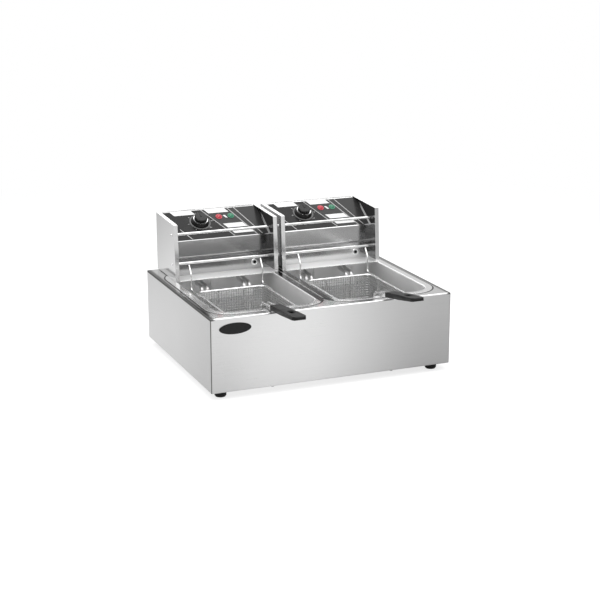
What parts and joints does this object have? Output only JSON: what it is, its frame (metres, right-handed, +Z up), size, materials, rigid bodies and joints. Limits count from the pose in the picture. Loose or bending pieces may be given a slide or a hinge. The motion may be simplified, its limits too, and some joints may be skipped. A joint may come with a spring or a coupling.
{
  "type": "deep fryer",
  "caption": "Countertop electric deep fryer in stainless steel with side-by-side tanks, lift-off control heads, wire baskets with black grips and rubber feet.",
  "frame": {"origin": "middle of the outline on the plane that the feet stand on, with the grips in front and the cable glands behind counted in", "axes": "+X to the right as seen from the front, +Y to the back, +Z up"},
  "size_m": [0.55, 0.584, 0.309],
  "materials": {
    "casing_steel": "satin brushed stainless sheet",
    "tank_steel": "pressed stainless, softly polished",
    "head_steel": "polished stainless sheet",
    "wire_steel": "bright plated wire",
    "element_steel": "heat-darkened stainless tube",
    "zinc": "zinc-plated steel",
    "black_plastic": "black heat-resistant plastic",
    "film": "printed polyester film, black and dark grey",
    "chrome_trim": "bright chrome trim",
    "red_lens": "translucent red lens",
    "green_lens": "translucent green lens",
    "ceramic": "glazed ceramic",
    "rubber": "black rubber"
  },
  "bodies": {
    "casing": {"outer_casing": "casing_steel", "base_plate": "zinc", "centre_support": "zinc", "rubber_feet": "rubber", "base_screws": "zinc", "badge_plate": "black_plastic"},
    "left_tank": {"left_tank": "tank_steel"},
    "left_head": {"left_head_shell": "head_steel", "left_head_front": "head_steel", "left_head_back": "head_steel", "left_back_screws": "zinc", "left_control_film": "film", "left_hanging_rods": "wire_steel", "left_rod_screws": "zinc", "left_dial_ring": "chrome_trim", "left_thermostat": "ceramic", "left_thermostat_bulb": "wire_steel", "left_limiter": "black_plastic", "left_reset_bezel": "chrome_trim", "left_red_lamp": "red_lens", "left_green_lamp": "green_lens", "left_terminal_block": "ceramic", "left_cable_gland": "black_plastic", "left_element": "element_steel", "left_element_straps": "zinc"},
    "left_knob": {"left_knob": "black_plastic", "left_knob_ring": "chrome_trim", "left_spindle": "zinc"},
    "left_reset": {"left_reset_button": "black_plastic"},
    "left_basket": {"left_basket_frame": "wire_steel", "left_basket_mesh": "wire_steel", "left_handle_wire": "wire_steel", "left_grip": "black_plastic"},
    "right_tank": {"right_tank": "tank_steel"},
    "right_head": {"right_head_shell": "head_steel", "right_head_front": "head_steel", "right_head_back": "head_steel", "right_back_screws": "zinc", "right_control_film": "film", "right_hanging_rods": "wire_steel", "right_rod_screws": "zinc", "right_dial_ring": "chrome_trim", "right_thermostat": "ceramic", "right_thermostat_bulb": "wire_steel", "right_limiter": "black_plastic", "right_reset_bezel": "chrome_trim", "right_red_lamp": "red_lens", "right_green_lamp": "green_lens", "right_terminal_block": "ceramic", "right_cable_gland": "black_plastic", "right_element": "element_steel", "right_element_straps": "zinc"},
    "right_knob": {"right_knob": "black_plastic", "right_knob_ring": "chrome_trim", "right_spindle": "zinc"},
    "right_reset": {"right_reset_button": "black_plastic"},
    "right_basket": {"right_basket_frame": "wire_steel", "right_basket_mesh": "wire_steel", "right_handle_wire": "wire_steel", "right_grip": "black_plastic"}
  },
  "joints": [
    {"name": "left_tank_lift", "type": "slide", "parent": "casing", "child": "left_tank", "axis": [0, 0, 1], "range_m": [0, 0.16]},
    {"name": "left_head_lift", "type": "slide", "parent": "left_tank", "child": "left_head", "axis": [0, 0, 1], "range_m": [0, 0.15]},
    {"name": "left_knob_turn", "type": "hinge", "parent": "left_head", "child": "left_knob", "pos_m": [-0.158, 0.23644, 0.29002], "axis": [0, -0.5222, 0.8529], "range_deg": [-280, 0]},
    {"name": "left_reset_press", "type": "slide", "parent": "left_head", "child": "left_reset", "axis": [0, 1, 0], "range_m": [0, 0.0025], "stiffness_N_per_m": 300, "springref_m": -0.001},
    {"name": "left_basket_lift", "type": "slide", "parent": "left_head", "child": "left_basket", "axis": [0, 0, 1], "range_m": [0, 0.15]},
    {"name": "right_tank_lift", "type": "slide", "parent": "casing", "child": "right_tank", "axis": [0, 0, 1], "range_m": [0, 0.16]},
    {"name": "right_head_lift", "type": "slide", "parent": "right_tank", "child": "right_head", "axis": [0, 0, 1], "range_m": [0, 0.15]},
    {"name": "right_knob_turn", "type": "hinge", "parent": "right_head", "child": "right_knob", "pos_m": [0.096, 0.23644, 0.29002], "axis": [0, -0.5222, 0.8529], "range_deg": [-280, 0]},
    {"name": "right_reset_press", "type": "slide", "parent": "right_head", "child": "right_reset", "axis": [0, 1, 0], "range_m": [0, 0.0025], "stiffness_N_per_m": 300, "springref_m": -0.001},
    {"name": "right_basket_lift", "type": "slide", "parent": "right_head", "child": "right_basket", "axis": [0, 0, 1], "range_m": [0, 0.15]}
  ]
}
